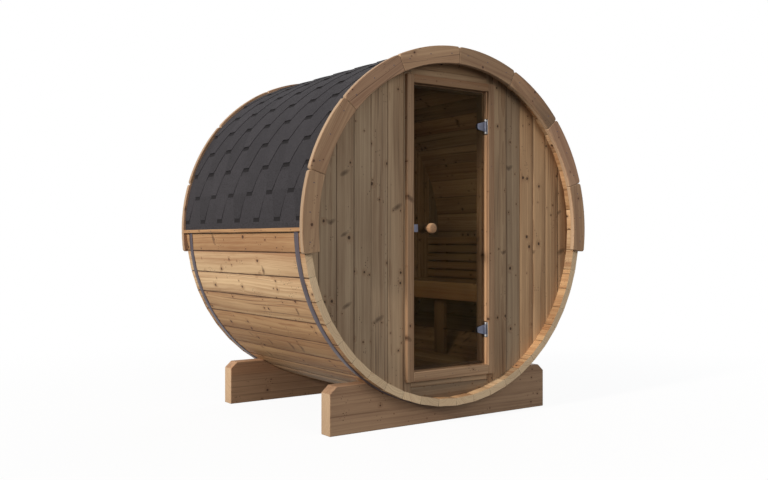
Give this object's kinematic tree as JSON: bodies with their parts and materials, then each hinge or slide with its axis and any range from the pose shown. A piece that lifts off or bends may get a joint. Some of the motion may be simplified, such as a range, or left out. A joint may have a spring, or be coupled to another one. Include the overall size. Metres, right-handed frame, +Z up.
{
  "type": "barrel sauna",
  "caption": "Horizontal stave-built barrel sauna on timber cradles, with shingled roof, steel hoops, boarded end walls, an inside bench and an outward-opening glass door.",
  "frame": {"origin": "on the ground under the middle of the barrel", "axes": "+Z up, Y along the barrel with the door end towards -Y, +X to the right seen from the door end"},
  "size_m": [2.0542, 1.5266, 2.132],
  "materials": {
    "stave_wood": "planed, oiled softwood with knots",
    "wall_wood": "planed tongued boards, weathered brown",
    "fascia_wood": "sawn boards with paler edges",
    "frame_wood": "planed softwood",
    "cradle_wood": "planed heavy planks",
    "knob_wood": "turned and waxed",
    "bench_wood": "planed softwood",
    "roof_shingle": "bitumen felt with mineral granules",
    "hoop_steel": "dull galvanised steel band",
    "hinge_steel": "satin steel",
    "tinted_glass": "tinted toughened glass"
  },
  "bodies": {
    "sauna": {"staves_upper_left": "stave_wood", "staves_upper_right": "stave_wood", "staves_lower_left": "stave_wood", "staves_lower_right": "stave_wood", "front_wall_left": "wall_wood", "front_wall_right": "wall_wood", "front_wall_over_door": "wall_wood", "front_wall_under_door": "wall_wood", "rear_wall": "wall_wood", "front_fascia_left": "fascia_wood", "front_fascia_right": "fascia_wood", "rear_fascia_left": "fascia_wood", "rear_fascia_right": "fascia_wood", "left_batten": "fascia_wood", "right_batten": "fascia_wood", "left_casing": "frame_wood", "right_casing": "frame_wood", "head_casing": "frame_wood", "sill_casing": "frame_wood", "left_jamb": "frame_wood", "right_jamb": "frame_wood", "head_jamb": "frame_wood", "door_sill": "frame_wood", "front_cradle": "cradle_wood", "rear_cradle": "cradle_wood", "bench_seat": "bench_wood", "bench_apron": "bench_wood", "bench_leg": "bench_wood", "bench_bearers": "bench_wood", "backrest_slats": "bench_wood", "backrest_posts": "bench_wood", "floor_slats": "bench_wood", "floor_bearers": "bench_wood", "roof_left": "roof_shingle", "roof_right": "roof_shingle", "front_hoop": "hoop_steel", "rear_hoop": "hoop_steel", "hinge_plates": "hinge_steel"},
    "door": {"door_glass": "tinted_glass", "hinge_clamps": "hinge_steel", "door_knob": "knob_wood", "inner_knob": "knob_wood", "catch_clip": "hinge_steel"}
  },
  "joints": [
    {"name": "door_hinge", "type": "hinge", "parent": "sauna", "child": "door", "pos_m": [0.2657, -0.68, 1.105], "axis": [0, 0, 1], "range_deg": [0, 110]}
  ]
}
